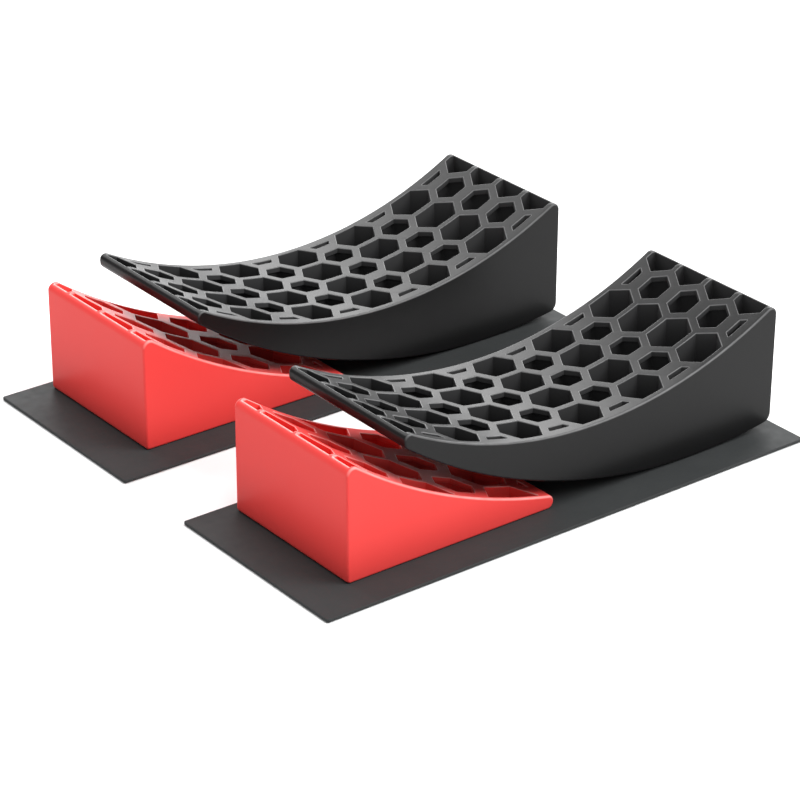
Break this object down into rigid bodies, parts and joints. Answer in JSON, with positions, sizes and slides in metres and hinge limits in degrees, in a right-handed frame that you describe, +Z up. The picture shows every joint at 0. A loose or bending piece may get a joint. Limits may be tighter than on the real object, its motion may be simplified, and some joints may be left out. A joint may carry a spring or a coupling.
{
  "type": "wheel leveling block set",
  "caption": "Curved honeycomb rocker levelers with matching wedge chocks on flat grip mats, for raising and holding a parked trailer's wheels.",
  "frame": {"origin": "on the ground, midway between the two mats", "axes": "+X along the mats toward the tall ends of the levelers, +Y from station 2 to station 1, +Z up"},
  "size_m": [0.534, 0.51, 0.1239],
  "materials": {
    "mat_rubber": "matt flat rubber sheet",
    "chock_plastic": "satin moulded red plastic",
    "leveler_plastic": "satin moulded black plastic"
  },
  "bodies": {
    "base_1": {"mat_1": "mat_rubber"},
    "wedge_1": {"chock_1": "chock_plastic"},
    "rocker_1": {"leveler_1": "leveler_plastic"},
    "base_2": {"mat_2": "mat_rubber"},
    "wedge_2": {"chock_2": "chock_plastic"},
    "rocker_2": {"leveler_2": "leveler_plastic"}
  },
  "joints": [
    {"name": "chock_1_slide", "type": "slide", "parent": "base_1", "child": "wedge_1", "axis": [1, 0, 0], "range_m": [-0.047, 0.042]},
    {"name": "leveler_1_rock", "type": "hinge", "parent": "base_1", "child": "rocker_1", "pos_m": [0.168, 0.1625, 0.5583], "axis": [0, 1, 0], "range_deg": [-33, 8]},
    {"name": "chock_2_slide", "type": "slide", "parent": "base_2", "child": "wedge_2", "axis": [1, 0, 0], "range_m": [-0.047, 0.042]},
    {"name": "leveler_2_rock", "type": "hinge", "parent": "base_2", "child": "rocker_2", "pos_m": [0.168, -0.1385, 0.5583], "axis": [0, 1, 0], "range_deg": [-33, 8]},
    {"name": "station_2_slide", "type": "slide", "parent": "base_1", "child": "base_2", "axis": [0, -1, 0], "range_m": [-0.09, 0.6]}
  ]
}
